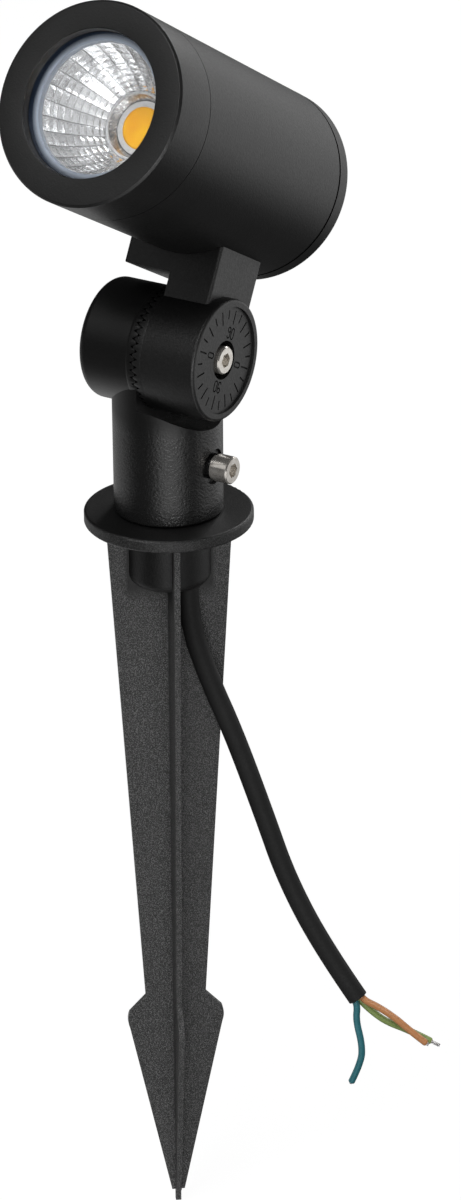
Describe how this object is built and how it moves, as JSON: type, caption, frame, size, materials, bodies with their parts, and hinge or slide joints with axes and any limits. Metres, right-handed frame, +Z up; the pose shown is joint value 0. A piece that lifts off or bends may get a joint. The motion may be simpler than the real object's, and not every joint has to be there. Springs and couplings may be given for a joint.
{
  "type": "garden spike spotlight",
  "caption": "Garden spike spotlight: round lamp head on a toothed tilting knuckle with a degree dial, clamped post, barbed cross-ribbed ground spike and a three-core lead.",
  "frame": {"origin": "on the spike's axis at the underside of its flange, which is the ground line", "axes": "+Z up along the spike, +X along the knuckle's axis towards its dial, the lamp looks towards -Y with its nose raised at rest"},
  "size_m": [0.1218, 0.1209, 0.4165],
  "materials": {
    "spike_coat": "coarse sandy black powder coat on die-cast aluminium",
    "post_coat": "leathery black powder coat on die-cast aluminium",
    "bracket_coat": "fine black powder coat on die-cast aluminium",
    "head_coat": "smooth satin black powder coat on turned aluminium",
    "stainless": "bright stainless steel",
    "black_rubber": "matt rubber",
    "cable_rubber": "smooth matt black rubber sheath",
    "core_blue": "blue core insulation",
    "core_green_yellow": "green core insulation with a yellow stripe",
    "core_brown": "light brown core insulation",
    "tinned_copper": "twisted tinned strands",
    "clear_glass": "clear toughened glass",
    "grey_silicone": "grey silicone",
    "bright_reflector": "bright metallised facets",
    "led_ceramic": "white ceramic board",
    "led_phosphor": "yellow phosphor",
    "white_plastic": "white moulded plastic",
    "circuit_board": "green circuit board",
    "circuit_parts": "moulded electronic parts"
  },
  "bodies": {
    "spike": {"ground_spike": "spike_coat", "cable_grommet": "black_rubber", "inner_cable": "cable_rubber", "power_cable": "cable_rubber", "core_blue": "core_blue", "core_green_yellow": "core_green_yellow", "core_brown": "core_brown", "wire_ends": "tinned_copper"},
    "post": {"base_post": "post_coat", "clamp_spring_washer": "stainless", "post_cable": "cable_rubber", "knuckle_washer": "stainless", "knuckle_nut": "stainless", "knuckle_seal": "black_rubber"},
    "head": {"head_bracket": "bracket_coat", "bracket_screws": "stainless", "head_cable": "cable_rubber", "front_bezel": "head_coat", "lens_glass": "clear_glass", "lens_gasket": "grey_silicone", "reflector": "bright_reflector", "led_board": "led_ceramic", "led_disc": "led_phosphor", "thermal_pad": "grey_silicone", "led_holder": "white_plastic", "holder_screws": "stainless", "head_body": "head_coat", "led_leads": "core_blue", "driver_board": "circuit_board", "driver_parts": "circuit_parts", "rear_cap": "head_coat", "front_ring": "black_rubber", "rear_ring": "black_rubber"},
    "bolt": {"knuckle_bolt": "stainless"},
    "clamp": {"clamp_screw": "stainless"}
  },
  "joints": [
    {"name": "pan", "type": "hinge", "parent": "spike", "child": "post", "pos_m": [0, 0, 0.016], "axis": [0, 0, 1], "range_deg": [-170, 170]},
    {"name": "tilt", "type": "hinge", "parent": "post", "child": "head", "pos_m": [0, 0, 0.056], "axis": [1, 0, 0], "range_deg": [-61, 88]},
    {"name": "bolt_turn", "type": "hinge", "parent": "post", "child": "bolt", "pos_m": [0, 0, 0.056], "axis": [1, 0, 0], "range_deg": [0, 180]},
    {"name": "clamp_turn", "type": "hinge", "parent": "post", "child": "clamp", "pos_m": [0, 0, 0.0211], "axis": [1, 0, 0], "range_deg": [0, 180]}
  ]
}
